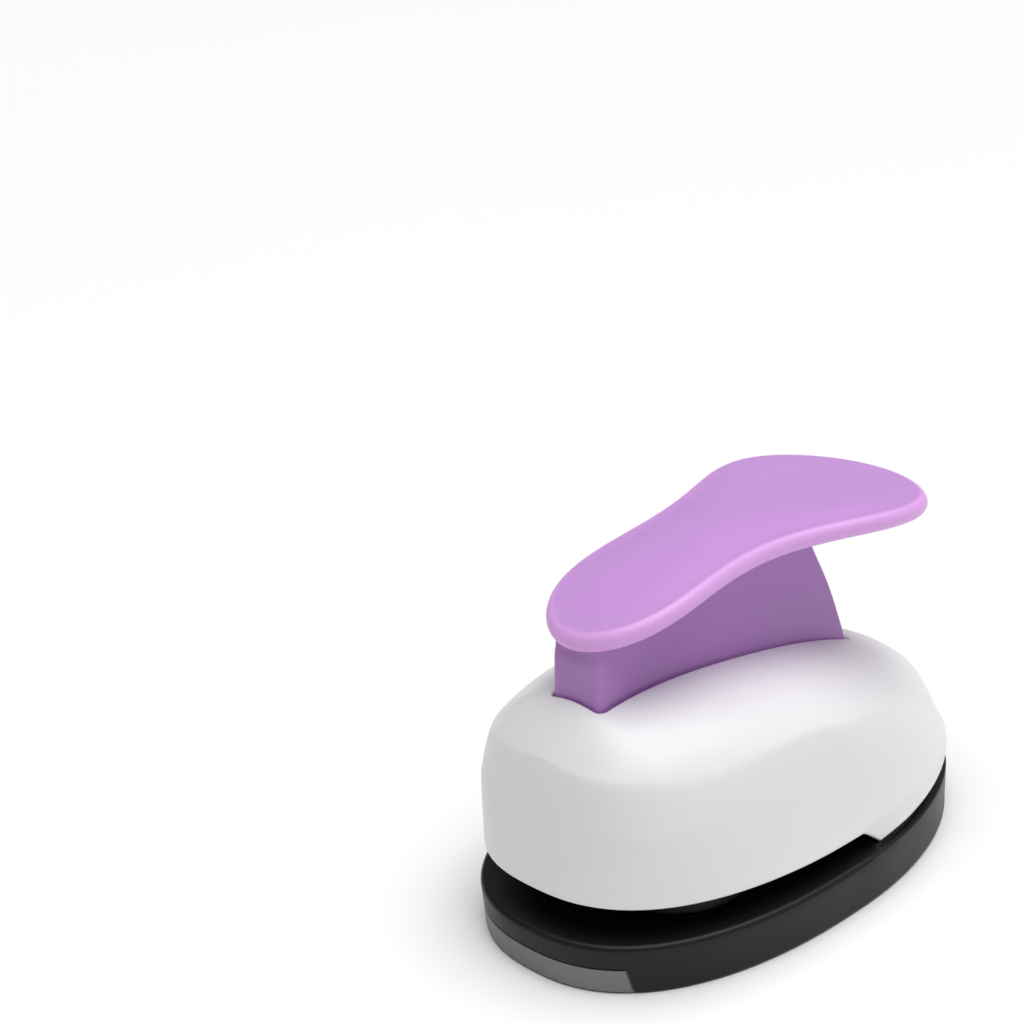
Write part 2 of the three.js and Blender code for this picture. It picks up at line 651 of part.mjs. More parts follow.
function lever() {
  const rounded = slab(roundedRectangle(-SKIRT.halfWidth, SKIRT.halfWidth, -32.5, 60, 2.4), 0, 80);
  const outer = sideSlab(skirtProfile(0), SKIRT.halfWidth).intersect(rounded);
  const inner = sideSlab(skirtProfile(SKIRT.wall), SKIRT.halfWidth - SKIRT.wall);
  const ribs = [-22, 4].map((y) => block(-4, 4, y - 0.7, y + 0.7, 33, 53.6));
  const whole = join(cut(outer, inner), ...ribs, thumbPad());
  return cut(whole, crossPin(1.7, 20, PIVOT.y, PIVOT.z), crossPin(PRESS.radius + FIT, 20, PRESS.y, PRESS.z));
}

// ---------------------------------------------------------------- tray
function chipTray() {
  const { halfWidth, box, rear, floor, top } = TRAY;
  const wall = 1;
  const front = TRAY.front + GAP;
  const sides = block(-box, box, front, rear, floor, top);
  const tongueX = box + TONGUE.reach;
  const tongues = block(-tongueX, tongueX, TONGUE.front, rear, TONGUE.bottom, TONGUE.top);
  const facia = cut(
    baseOuter().intersect(trayWindow(0)),
    block(-40, 40, front + 1, 60, -5, 20),
    block(-40, 40, -60, 60, -5, floor),
  );
  const inBox = block(-box + wall, box - wall, front, rear - wall, floor + wall, 20);
  const inFacia = slab(new THREE.Shape(bodyOval(1.9)), floor + wall, 20).intersect(
    block(-halfWidth + 2, halfWidth - 2, -60, front + 1, 0, 20),
  );
  return cut(join(sides, tongues, facia), inBox, inFacia);
}

// ---------------------------------------------------------------- assembly
const group = new THREE.Group();

function place(name, made, material) {
  const mesh = new THREE.Mesh(geometryOf(made), material);
  mesh.name = name;
  group.add(mesh);
}

const SIDE_NAME = { "-1": "left", 1: "right" };

place("base_shell", baseShell(), COLOUR.base);
place("chip_tray", chipTray(), COLOUR.tray);
place("die_plate", diePlate(), COLOUR.dark);
place("throat_spacer", throatSpacer(), COLOUR.dark);
place("guide_plate", guidePlate(), COLOUR.dark);
place("upper_frame", upperFrame(), COLOUR.base);
place("top_cover", topCover(), COLOUR.cover);
place("pivot_bracket", pivotBracket(), COLOUR.steel);
place("pivot_pin", pivotPin(), COLOUR.steel);
place("cutter", cutter(), COLOUR.steel);
place("plunger", plunger(), COLOUR.zinc);
place("lever", lever(), COLOUR.lever);
place("press_pin", crossPin(PRESS.radius, SKIRT.halfWidth - 0.1, PRESS.y, PRESS.z), COLOUR.steel);

for (const side of [-1, 1]) {
  const name = SIDE_NAME[side];
  place(`guide_post_${name}`, guidePost(side), COLOUR.steel);
  place(`return_spring_${name}`, returnSpring(side), COLOUR.steel);
  place(`pivot_clip_${name}`, pivotClip(side), COLOUR.steel);
  RIVET.rows.forEach((y, row) => {
    place(`rivet_${row ? "rear" : "front"}_${name}`, rivet(side, y), COLOUR.steel);
  });
  const rearScrew = screw(side * REAR_SCREW.x, REAR_SCREW.y, 19.5, 2.5, 1, 1.5, 2.8);
  const frontSeat = FRAME.bottom + 1;
  const frontScrew = screw(side * FRONT_SCREW.x, FRONT_SCREW.y, 19.5, frontSeat, frontSeat - 0.9, 1.2, 2.4);
  const bracketSeat = FRAME.top + 1.1;
  const bracketTip = GUIDE.bottom + 0.1;
  const { x, y } = BRACKET_SCREW;
  const bracketScrew = screw(side * x, y, bracketTip, bracketSeat, bracketSeat + 1.2, 1.2, 2.2);
  place(`case_screw_${name}`, rearScrew, COLOUR.steel);
  place(`cover_screw_${name}`, frontScrew, COLOUR.steel);
  place(`bracket_screw_${name}`, bracketScrew, COLOUR.steel);
}

for (const [name, side] of [["front", -1], ["rear", 1]]) {
  const y = CUT.y + side * PLUNGER.screwReach;
  place(`cutter_screw_${name}`, screw(0, y, CUTTER.top - 5.5, 21.45, 22.8, 1.25, 2.7), COLOUR.steel);
}

export default group;
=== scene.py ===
import math

import bmesh
import bpy
import numpy as np
from mathutils import Matrix, Vector


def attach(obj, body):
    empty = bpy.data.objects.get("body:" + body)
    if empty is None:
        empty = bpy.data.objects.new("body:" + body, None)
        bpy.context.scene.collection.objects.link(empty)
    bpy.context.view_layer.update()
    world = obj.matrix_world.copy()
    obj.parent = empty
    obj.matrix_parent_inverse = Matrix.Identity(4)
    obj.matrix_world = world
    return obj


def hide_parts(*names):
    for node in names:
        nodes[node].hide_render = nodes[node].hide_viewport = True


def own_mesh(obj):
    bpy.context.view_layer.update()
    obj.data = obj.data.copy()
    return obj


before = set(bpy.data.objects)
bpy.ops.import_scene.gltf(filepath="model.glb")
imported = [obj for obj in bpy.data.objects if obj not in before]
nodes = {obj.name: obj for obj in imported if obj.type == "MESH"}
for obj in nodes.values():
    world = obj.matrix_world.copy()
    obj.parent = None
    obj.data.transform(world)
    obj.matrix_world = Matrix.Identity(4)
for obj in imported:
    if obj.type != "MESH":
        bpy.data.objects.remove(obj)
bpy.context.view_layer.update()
MM = 0.001
TAU = 2 * math.pi


# ---------------------------------------------------------------- materials
class Shader:
    """One node material, built up from a Principled shader."""

    def __init__(self, name, color, roughness, metallic=0.0, **sockets):
        self.material = bpy.data.materials.new(name)
        self.material.use_nodes = True
        self.tree = self.material.node_tree
        self.out = self.tree.nodes["Principled BSDF"]
        self.out.inputs["Base Color"].default_value = (*color, 1)
        self.out.inputs["Roughness"].default_value = roughness
        self.out.inputs["Metallic"].default_value = metallic
        self.color = color
        self.roughness = roughness
        for key, value in sockets.items():
            self.out.inputs[key.replace("_", " ")].default_value = value
        self.place = self.node("ShaderNodeTexCoord").outputs["Object"]
        self.height = None

    def node(self, kind, **settings):
        made = self.tree.nodes.new(kind)
        for key, value in settings.items():
            setattr(made, key, value)
        return made

    def link(self, a, b):
        self.tree.links.new(a, b)

    def stretched(self, scale):
        mapping = self.node("ShaderNodeMapping")
        mapping.inputs["Scale"].default_value = scale
        self.link(self.place, mapping.inputs["Vector"])
        return mapping.outputs["Vector"]

    def noise(self, scale, detail=4.0, rough=0.55, stretch=None):
        made = self.node("ShaderNodeTexNoise")
        made.inputs["Scale"].default_value = scale
        made.inputs["Detail"].default_value = detail
        made.inputs["Roughness"].default_value = rough
        self.link(self.stretched(stretch) if stretch else self.place, made.inputs["Vector"])
        return made.outputs["Fac"]

    def ramp(self, value, low, high, a, b):
        made = self.node("ShaderNodeMapRange")
        self.link(value, made.inputs["Value"])
        for key, number in zip(("From Min", "From Max", "To Min", "To Max"), (low, high, a, b)):
            made.inputs[key].default_value = number
        return made.outputs["Result"]

    def math(self, operation, a, b):
        made = self.node("ShaderNodeMath", operation=operation)
        for socket, value in zip(made.inputs, (a, b)):
            if isinstance(value, (int, float)):
                socket.default_value = value
            else:
                self.link(value, socket)
        return made.outputs["Value"]

    def tint(self, value, color_a, color_b):
        """Mixes two colours by value, from 0 to 1."""
        made = self.node("ShaderNodeMix", data_type="RGBA")
        self.link(value, made.inputs[0])
        made.inputs[6].default_value = (*color_a, 1)
        made.inputs[7].default_value = (*color_b, 1)
        return made.outputs[2]

    def mix(self, value, socket, color_b):
        made = self.node("ShaderNodeMix", data_type="RGBA")
        self.link(value, made.inputs[0])
        self.link(socket, made.inputs[6])
        made.inputs[7].default_value = (*color_b, 1)
        return made.outputs[2]

    def paint(self, socket):
        self.link(socket, self.out.inputs["Base Color"])

    def rough(self, socket):
        self.link(socket, self.out.inputs["Roughness"])

    def bump(self, value, distance, strength=1.0):
        made = self.node("ShaderNodeBump")
        made.inputs["Strength"].default_value = strength
        made.inputs["Distance"].default_value = distance
        self.link(value, made.inputs["Height"])
        if self.height:
            self.link(self.height, made.inputs["Normal"])
        self.height = made.outputs["Normal"]
        self.link(self.height, self.out.inputs["Normal"])


def scale(color, by):
    return tuple(min(1.0, c * by) for c in color)


def moulded(name, color, roughness, vary, grain, wear, wear_color, lip_highlight_color=None, **sockets):
    """Injection-moulded plastic: faint flow marks, spark-eroded grain, and edges rubbed a little smoother.

    The highlight colour, when given, is a painted highlight, laid where a piece has its "edge" attribute set.
    """
    s = Shader(name, color, roughness, **sockets)
    flow = s.ramp(s.noise(26, 3), 0.35, 0.65, 0, 1)
    base = s.tint(flow, scale(color, 1 - vary), scale(color, 1 + vary))
    edges = s.ramp(s.node("ShaderNodeNewGeometry").outputs["Pointiness"], 0.515, 0.6, 0, 1)
    patches = s.ramp(s.noise(210, 5), 0.45, 0.7, 0, 1)
    rubbed = s.math("MULTIPLY", s.math("MULTIPLY", edges, patches), wear)
    # painted highlight: a lighter colour laid over the tone where the "edge" attribute is set
    if lip_highlight_color:
        painted_highlight = s.node("ShaderNodeAttribute", attribute_name="edge").outputs["Fac"]
        base = s.mix(painted_highlight, base, lip_highlight_color)
    s.paint(s.mix(rubbed, base, wear_color))
    smudges = s.ramp(s.noise(75, 6, 0.62), 0.3, 0.7, roughness * 0.86, roughness * 1.16)
    s.rough(s.math("SUBTRACT", smudges, s.math("MULTIPLY", rubbed, 0.12)))
    s.bump(s.noise(2400, 3), grain)
    s.bump(s.noise(120, 3), grain * 3, 0.35)
    return s.material


def ground_steel(name, color, roughness, stretch, scratch):
    """Steel with fine grinding lines one way and a few handling marks."""
    s = Shader(name, color, roughness, 1.0)
    lines = s.noise(900, 6, 0.7, stretch)
    stain = s.ramp(s.noise(60, 5), 0.35, 0.7, 0, 1)
    s.paint(s.tint(stain, scale(color, 1.06), scale(color, 0.8)))
    s.rough(s.ramp(lines, 0.3, 0.7, roughness * 0.75, roughness * 1.3))
    s.bump(lines, scratch)
    return s.material


def cast_metal(name, color, roughness):
    s = Shader(name, color, roughness, 0.85)
    s.paint(s.tint(s.ramp(s.noise(180, 5), 0.3, 0.7, 0, 1), scale(color, 0.8), scale(color, 1.25)))
    s.rough(s.ramp(s.noise(400, 4), 0.3, 0.7, roughness * 0.8, roughness * 1.2))
    s.bump(s.noise(1500, 4), 0.00006)
    return s.material


WHITE = moulded("cover_white", (0.80, 0.80, 0.805), 0.36, 0.012, 0.000004, 0.25, (0.9, 0.9, 0.9),
                Coat_Weight=0.12, Coat_Roughness=0.25, Specular_IOR_Level=0.45)
BLACK = moulded("base_black", (0.006, 0.006, 0.006), 0.42, 0.2, 0.000012, 0.25, (0.05, 0.05, 0.05),
                Specular_IOR_Level=0.28)
# the pad's lighter lip colour is a painted highlight along its lit rounded edge
PURPLE = moulded("lever_purple", (0.575, 0.295, 0.69), 0.38, 0.03, 0.000006, 0.35, (0.78, 0.52, 0.86),
                 lip_highlight_color=(0.74, 0.385, 0.81), Specular_IOR_Level=0.45)
# painted shade: a darker copy of the pad's purple for the skirt under the pad, though both are one moulding
PURPLE_SHADED = moulded("lever_purple_painted_shade", (0.46, 0.225, 0.57), 0.42, 0.03, 0.000006, 0.3, (0.6, 0.38, 0.68),
                Specular_IOR_Level=0.3)
GREY = moulded("drawer_grey", (0.19, 0.19, 0.193), 0.5, 0.06, 0.00001, 0.4, (0.3, 0.3, 0.3))
STEEL = ground_steel("steel_ground", (0.56, 0.57, 0.59), 0.3, (1, 0.05, 1), 0.00001)
PIN = ground_steel("steel_plated", (0.66, 0.67, 0.69), 0.2, (1, 1, 0.1), 0.000004)
# painted shade: near-black steel for the plates and spacer in the slot, dark like the shade under the cover
SHADE_STEEL = ground_steel("steel_painted_shade", (0.03, 0.031, 0.034), 0.42, (1, 0.05, 1), 0.00001)
ZINC = cast_metal("zinc_cast", (0.36, 0.37, 0.38), 0.5)


# ---------------------------------------------------------------- mesh tools
def piece(name, points, faces, material, body, stands_for=(), sharp=40):
    """A mesh object from points in millimetres."""
    mesh = bpy.data.meshes.new(name)
    mesh.from_pydata([tuple(p) for p in np.asarray(points, float) * MM], [], faces)
    mesh.validate()
    bm = bmesh.new()
    bm.from_mesh(mesh)
    bmesh.ops.remove_doubles(bm, verts=bm.verts, dist=1e-7)
    bmesh.ops.recalc_face_normals(bm, faces=bm.faces)
    bm.to_mesh(mesh)
    bm.free()
    made = bpy.data.objects.new(name, mesh)
    bpy.context.scene.collection.objects.link(made)
    mesh.materials.append(material)
    smooth(made, sharp)
    if body:
        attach(made, body)
        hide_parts(*stands_for)
    return made


def smooth(made, degrees):
    made.data.shade_smooth()
    made.data.set_sharp_from_angle(angle=math.radians(degrees))


def strip(count, rings, closed_ends=(False, False)):
    """Faces of a stack of rings of count points each, with an n-gon at an end that is closed."""
    faces = []
    for r in range(rings - 1):
        for i in range(count):
            j = (i + 1) % count
            faces.append((r * count + i, r * count + j, (r + 1) * count + j, (r + 1) * count + i))
    if closed_ends[0]:
        faces.append(tuple(range(count))[::-1])
    if closed_ends[1]:
        faces.append(tuple((rings - 1) * count + i for i in range(count)))
    return faces


def mark_lip_highlight(made, count, weights):
    """Sets the "edge" attribute, the painted highlight's weight, of a piece made of rings of count points,
    one to a ring.
    """
    attribute = made.data.attributes.new("edge", "FLOAT", "POINT")
    attribute.data.foreach_set("value", np.repeat(np.asarray(weights, float), count))


def stack(rings):
    return np.concatenate([np.asarray(r) for r in rings])


def lifted(outline, z):
    return np.column_stack([outline, np.broadcast_to(z, len(outline))])


def resampled(loop, count):
    """count points at equal steps round a closed loop, starting at its first point."""
    loop = np.vstack([loop, loop[:1]])
    along = np.concatenate([[0], np.cumsum(np.linalg.norm(np.diff(loop, axis=0), axis=1))])
    at = np.linspace(0, along[-1], count, endpoint=False)
    return np.column_stack([np.interp(at, along, loop[:, k]) for k in range(loop.shape[1])])


def quartered(loop, count):
    """As resampled, but each quarter between the loop's x and y extremes gets the same number of points."""
    middle = (loop[:, 1].max() + loop[:, 1].min()) / 2
    turn = np.unwrap(np.arctan2(loop[:, 1] - middle, loop[:, 0]))
    turn -= turn[0]
    loop = np.vstack([loop, loop[:1]])
    turn = np.append(turn, TAU)
    along = np.concatenate([[0], np.cumsum(np.linalg.norm(np.diff(loop, axis=0), axis=1))])
    marks = np.interp(np.arange(5) * TAU / 4, turn, along)
    at = np.concatenate([np.linspace(a, b, count // 4, endpoint=False) for a, b in zip(marks, marks[1:])])
    return np.column_stack([np.interp(at, along, loop[:, k]) for k in range(2)])


def share(x, y, shape):
    """How far a place in plan is out from the middle of a superellipse, 1 on the curve itself."""
    power = np.where(y < 0, shape["front"], shape["rear"])
    return (np.abs(x / shape["x"]) ** power + np.abs(y / shape["y"]) ** power) ** (1 / power)


def oval(shape, inset=0.0, count=1440, egg=0.0):
    """A superellipse with separate powers in front and behind; egg widens it towards the rear."""
    shape = dict(shape, x=shape["x"] - inset, y=shape["y"] - inset)
    t = np.linspace(0, TAU, count, endpoint=False)
    c, s = np.cos(t), np.sin(t)
    reach = 1 / share(c, s, shape)
    return np.column_stack([reach * c * (1 + egg * reach * s / shape["y"]), reach * s])


def rounded(x, y0, y1, r0, r1=None, steps=24):
    """A rectangle from -x to x and y0 to y1 with corners r0 at y0 and r1 at y1, from +X anticlockwise."""
    r1 = r0 if r1 is None else r1
    near, far = y0 + r0, y1 - r1
    corners = ((x - r1, far, r1, 0), (-x + r1, far, r1, 1), (-x + r0, near, r0, 2), (x - r0, near, r0, 3))
    points = [[(x, (y0 + y1) / 2)]]
    for cx, cy, r, quarter in corners:
        a = np.linspace(0, TAU / 4, steps) + quarter * TAU / 4
        points.append(np.column_stack([cx + r * np.cos(a), cy + r * np.sin(a)]))
    return resampled(np.vstack(points), 4000)


def inward(outline):
    """Unit normals in the plane, pointing in, of an anticlockwise loop."""
    along = np.roll(outline, -1, 0) - np.roll(outline, 1, 0)
    along /= np.linalg.norm(along, axis=1)[:, None]
    return np.column_stack([-along[:, 1], along[:, 0]])


def ease(value, low, high):
    t = np.clip((value - low) / (high - low), 0, 1)
    return t * t * (3 - 2 * t)


# ---------------------------------------------------------------- the cover's surface
BASE_OVAL = dict(y=45.0, x=27.9, front=2.42, rear=2.0)
BASE_EGG = 0.038
COVER_OVAL = dict(y=43.6, x=26.6, front=2.43, rear=2.32)
OPENING = dict(x=5.8, y0=-32.3, y1=26.6)


def base_outline(inset=0.0, count=1440):
    return oval(BASE_OVAL, inset, count, BASE_EGG)


def seam_height(y):
    """Where the cover meets the base, behind the slot."""
    return 8.4 + 0.087 * (y - 3.5)


def wall_height(x, y):
    """Height at which the leaning wall passes over a place in plan."""
    steps = np.linspace(0, 2.2, 111)
    inside = []
    for s in steps:
        lean = s**0.84
        outline = dict(y=43.6 - 2.16 * lean, x=26.6 - 2.69 * lean)
        outline.update(front=2.43 + 0.68 * min(s, 1.0), rear=2.32 - 0.66 * min(s, 1.0))
        inside.append(share(x, y, outline) - 1)
    inside = np.array(inside)
    last = np.clip(np.argmax(inside > 0, axis=0), 1, None)
    below = np.take_along_axis(inside, (last - 1)[None], 0)[0]
    above = np.take_along_axis(inside, last[None], 0)[0]
    t = np.clip(-below / (above - below + 1e-12), 0, 1)
    height = 12.6 + 14.4 * (steps[last - 1] + t * (steps[1] - steps[0]))
    return np.where((inside > 0).any(axis=0), height, 99.0)


def dome_height(x, y):
    out = share(x, y + 1.85, dict(y=53.0, x=30.2, front=1.66, rear=1.72))
    foot = 10.8 - 0.177 * np.minimum(y, 20) - 0.1 * np.clip(y - 20, 0, None)
    brow = np.clip((-31.4 - y) / 10, 0, None) ** 1.53 * np.clip(1 - (x / 25.9) ** 2, 0, None) ** 2
    return foot + (36.4 - 0.185 * y - foot) * np.sqrt(1 - np.clip(out, 0, 1) ** 2.99) - 7.43 * brow


def cover_height(x, y):
    wall, dome = wall_height(x, y), dome_height(x, y)
    soft = 3.6 - np.where(y < 0, 0.25, 0.04) * y
    near = np.clip(1 - np.abs(wall - dome) / soft, 0, None)
    return np.minimum(wall, dome) - near**2 * soft / 4


def rim_height(y):
    """Lower edge of the cover: the slot's lip in front, the seam behind, a drop to a point between."""
    lip = 12.2 + (0.2 - y) * 0.0427
    return lip + (seam_height(y) + 0.5 - lip) * np.clip((y - 1.2) / 4.2, 0, 1) ** 1.4


def make_cover():
    count, rows = 720, 96
    outer = quartered(oval(COVER_OVAL), count)
    mouth = quartered(rounded(OPENING["x"], OPENING["y0"], OPENING["y1"], 1.7, 1.2), count)
    fine = 1 - (1 - np.linspace(0, 1, 500)) ** 1.7
    x = mouth[:, 0] + np.outer(fine, outer[:, 0] - mouth[:, 0])
    y = mouth[:, 1] + np.outer(fine, outer[:, 1] - mouth[:, 1])
    z = cover_height(x, y)
    z[-1] = np.minimum(z[-1], 12.6)
    rim = rim_height(outer[:, 1])
    grid = np.empty((rows, count, 3))
    for i in range(count):
        line = np.column_stack([x[:, i], y[:, i], z[:, i]])
        if rim[i] < line[-1, 2]:
            line = np.vstack([line, [outer[i, 0], outer[i, 1], rim[i]]])
        else:
            keep = line[:, 2] > rim[i]
            cut = int(np.argmin(keep)) if not keep.all() else len(line) - 1
            t = (line[cut - 1, 2] - rim[i]) / (line[cut - 1, 2] - line[cut, 2] + 1e-9)
            line = np.vstack([line[:cut], line[cut - 1] + t * (line[cut] - line[cut - 1])])
        along = np.concatenate([[0], np.cumsum(np.linalg.norm(np.diff(line, axis=0), axis=1))])
        at = np.linspace(0, along[-1], rows)
        grid[:, i] = np.column_stack([np.interp(at, along, line[:, k]) for k in range(3)])
    # the wall keeps leaning out below the slot's level, to come down flush with the base
    flare = 0.6 * (ease(outer[:, 1], 1, 14) - 0.7 * ease(outer[:, 1], 18, 36))
    flare = flare * np.clip(1 - (grid[:, :, 2] - rim) / 3.5, 0, 1) ** 2
    grid[:, :, :2] -= inward(outer) * flare[:, :, None]
    rings = []
    # the opening's edge, from inside the shell up and over
    to_hole = inward(mouth)
    top = grid[0]
    r = 0.55
    for depth in (2.2, 1.2):
        rings.append(np.column_stack([top[:, :2] + to_hole * r, top[:, 2] - depth]))
    for a in np.linspace(0, TAU / 4, 7)[:-1]:
        flat = top[:, :2] + to_hole * r * math.cos(a)
        rings.append(np.column_stack([flat, top[:, 2] - r * (1 - math.sin(a))]))
    rings.extend(grid)
    # the lower edge, rounded under and back up inside
    low = grid[-1]
    to_middle = inward(low[:, :2])
    r = 0.45
    for a in np.linspace(0, TAU / 4, 7)[1:]:
        flat = low[:, :2] + to_middle * r * (1 - math.cos(a))
        rings.append(np.column_stack([flat, low[:, 2] - r * math.sin(a)]))
    rings.append(np.column_stack([low[:, :2] + to_middle * 1.9, low[:, 2] - r]))
    rings.append(np.column_stack([low[:, :2] + to_middle * 2.6, low[:, 2] + 2.5]))
    faces = strip(count, len(rings))
    return piece("cover_shell", stack(rings), faces, WHITE, "base", ["top_cover"], 50)


# ---------------------------------------------------------------- base and drawer
DECK = 8.0
TRAY_FRONT, TRAY_REAR, TRAY_HALF_WIDTH, TRAY_TOP = -37.9, 5.4, 14.9, 4.0
FACIA_HALF_WIDTH = 15.6
CUT_Y = -12.0
CASE_SCREW = (12.0, 31.0)
COVER_SCREW = (8.5, -37.0)
BRACKET_SCREW = (10.0, -30.0)
POST_X = 16.0
RIVET_X, RIVET_ROWS = 14.6, (("front", 9.6), ("rear", 16.0))
DIE_PLATE = dict(x=18.5, front=-30, rear=19.5, corner=6, bottom=6.0, top=8.0)
GUIDE_PLATE = dict(x=20.5, front=-33.5, rear=19.5, corner=12, bottom=9.4, top=11.4)


def base_rings(count=720):
    """The base's outside, from the middle of its foot up to the deck."""
    outline = quartered(base_outline(), count)
    normal = inward(outline)
    edge = 0.9 - 0.6 * ease(outline[:, 1], -2.0, 4.0)
    rings = []
    foot = ((0.9, 0.0), (0.62, 0.04), (0.42, 0.18), (0.3, 0.4), (0.24, 0.7), (0.22, 1.2), (0.2, 2.5))
    for inset, z in foot:
        rings.append(np.column_stack([outline + normal * inset, np.full(count, z)]))
    for share_up in (0.25, 0.5, 0.75, 1.0):
        z = 2.5 + (DECK - edge - 2.5) * share_up
        rings.append(np.column_stack([outline + normal * 0.2 * (1 - share_up), z]))
    for a in np.linspace(0, TAU / 4, 9)[1:]:
        z = DECK - edge * (1 - math.sin(a))
        rings.append(np.column_stack([outline + normal * (edge * (1 - math.cos(a)))[:, None], z]))
    return rings


def solid(name, rings):
    """A closed solid for cutting with, as an object that isn't part of the scene."""
    count = len(rings[0])
    mesh = bpy.data.meshes.new(name)
    faces = strip(count, len(rings), (True, True))
    mesh.from_pydata([tuple(p) for p in stack(rings) * MM], [], faces)
    bm = bmesh.new()
    bm.from_mesh(mesh)
    bmesh.ops.recalc_face_normals(bm, faces=bm.faces)
    bm.to_mesh(mesh)
    bm.free()
    made = bpy.data.objects.new(name, mesh)
    bpy.context.scene.collection.objects.link(made)
    return made


def prism(outline, z0, z1, outline_top=None):
    top = outline if outline_top is None else outline_top
    return solid("tool", [lifted(outline, z0), lifted(top, z1)])


def disc(radius, x=0.0, y=0.0, count=96):
    t = np.linspace(0, TAU, count, endpoint=False)
    return np.column_stack([x + radius * np.cos(t), y + radius * np.sin(t)])


def rectangle(x0, x1, y0, y1, r=0.4):
    t = np.linspace(0, TAU / 4, 7)
    points = []
    corners = ((x1 - r, y1 - r), (x0 + r, y1 - r), (x0 + r, y0 + r), (x1 - r, y0 + r))
    for quarter, (cx, cy) in enumerate(corners):
        a = t + quarter * TAU / 4
        points.append(np.column_stack([cx + r * np.cos(a), cy + r * np.sin(a)]))
    return np.vstack(points)


def carve(target, tool, operation="DIFFERENCE"):
    """Applies a boolean to target and removes the tool."""
    modifier = target.modifiers.new("carve", "BOOLEAN")
    modifier.operation = operation
    modifier.solver = "MANIFOLD"
    modifier.object = tool
    bpy.context.view_layer.update()
    made = bpy.data.meshes.new_from_object(target.evaluated_get(bpy.context.evaluated_depsgraph_get()))
    target.modifiers.clear()
    target.data = made
    bpy.data.objects.remove(tool)


def finished(target, name, material, body, stands_for, sharp=35):
    target.name = target.data.name = name
    target.data.materials.clear()
    target.data.materials.append(material)
    smooth(target, sharp)
    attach(target, body)
    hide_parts(*stands_for)
    return target


def window(gap):
    """The drawer's opening in the base's front, wider at the bottom."""
    low, high = FACIA_HALF_WIDTH + gap, TRAY_HALF_WIDTH + gap
    slant = (high - low) / (TRAY_TOP + gap)
    ends = []
    for z in (-1.0, TRAY_TOP + gap):
        x = low + slant * z
        ends.append(lifted(rectangle(-x, x, -52, -34, 0.05), z))
    return solid("window", ends)


def closed_base():
    rings = base_rings()
    first, last = rings[0], rings[-1]
    deck = []
    for share_in in (0.97, 0.955, 0.8, 0.5, 0.2, 0.02):
        flat = last[:, :2] * share_in
        # behind the slot a step set in from the edge rises to meet the cover
        step = (seam_height(flat[:, 1]) - 0.1 - DECK) * ease(flat[:, 1], 3.6, 5.2) * (share_in < 0.96)
        deck.append(np.column_stack([flat, DECK + step]))
    foot = [np.column_stack([first[:, :2] * 0.02, first[:, 2]])]
    return solid("base", foot + rings + deck)


def make_base():
    base = closed_base()
    carve(base, window(0.3))
    carve(base, prism(rectangle(-15.2, 15.2, -38.2, 5.7), -1, 4.3))
    carve(base, prism(rectangle(-16.4, 16.4, -34.0, 5.7, 0.2), 1.1, 2.3))
    carve(base, prism(rounded(18.7, -30.2, 19.7, 6.2)[::20], 5.95, 20))
    carve(base, prism(disc(13.8, 0, CUT_Y), -2, 10))
    for side in (-1, 1):
        inner = base_outline(2.6, 360)
        kept = (inner[:, 0] * side > 18.1) & (inner[:, 1] < 18.2) & (inner[:, 1] > -29)
        arc = inner[kept]
        arc = arc[np.argsort(arc[:, 1])]
        loop = np.vstack([arc, [(side * 18.1, 18.2), (side * 18.1, arc[0, 1])]])
        carve(base, prism(loop if side > 0 else loop[::-1], -1, 4.4))
    carve(base, prism(rectangle(-17.7, 17.7, 8.0, 18.2, 1.2), -1, 4.4))
    behind = base_outline(2.5, 360)
    behind = behind[behind[:, 1] > 20.8]
    behind = np.vstack([behind, [(-behind[0, 0], 20.8), (behind[0, 0], 20.8)]])
    carve(base, prism(behind, 1.8, 20))
    for side in (-1, 1):
        boss = prism(disc(4.2, side * CASE_SCREW[0], CASE_SCREW[1]), 0.5, 9.2)
        carve(base, boss, "UNION")
    for side in (-1, 1):
        carve(base, prism(disc(1.8, side * CASE_SCREW[0], CASE_SCREW[1]), -1, 12))
        carve(base, prism(disc(3.1, side * CASE_SCREW[0], CASE_SCREW[1]), -1, 2.6))
        for _, y in RIVET_ROWS:
            carve(base, prism(disc(2.9, side * RIVET_X, y, 48), 5.1, 8))
    return finished(base, "base_moulding", BLACK, "base", ["base_shell"])


def make_tray():
    facia = closed_base()
    carve(facia, window(0.0), "INTERSECT")
    carve(facia, prism(rectangle(-40, 40, -36.9, 60, 0.1), -5, 20))
    carve(facia, prism(rectangle(-40, 40, -60, 60, 0.1), -5, 0.3))
    box = prism(rectangle(-TRAY_HALF_WIDTH, TRAY_HALF_WIDTH, TRAY_FRONT, TRAY_REAR, 0.5), 0.3, TRAY_TOP)
    carve(facia, box, "UNION")
    carve(facia, prism(rectangle(-16.1, 16.1, -4, TRAY_REAR, 0.2), 1.3, 2.1), "UNION")
    inner = TRAY_HALF_WIDTH - 1.0
    carve(facia, prism(rectangle(-inner, inner, TRAY_FRONT, TRAY_REAR - 1.0, 1.0), 1.3, 20))
    front = base_outline(1.9, 720)
    front = front[(np.abs(front[:, 0]) < 13.6) & (front[:, 1] < 0)]
    front = front[np.argsort(front[:, 0])]
    hollow = np.vstack([front, [(front[-1, 0], -36.9), (front[0, 0], -36.9)]])
    carve(facia, prism(hollow, 1.3, 20))
    return finished(facia, "drawer", GREY, "tray", ["chip_tray"])


# ---------------------------------------------------------------- lever
PIVOT = (-29.0, 19.0)
LEVER_RADIUS = 55.2
PAD_Y, PAD_REACH = 3.63, 36.05
SKIRT_WALL = 1.3


def pad_half_width(t):
    return (12.5 + 8.3 * t + 20.8 * t**2 - 2.9 * t**3 - 9.4 * t**4) * np.sqrt(np.clip(1 - t * t, 0, 1))


def pad_edge(t):
    return 56.3 + 0.35 * t - 3.8 * t**2 + 1.85 * t**3


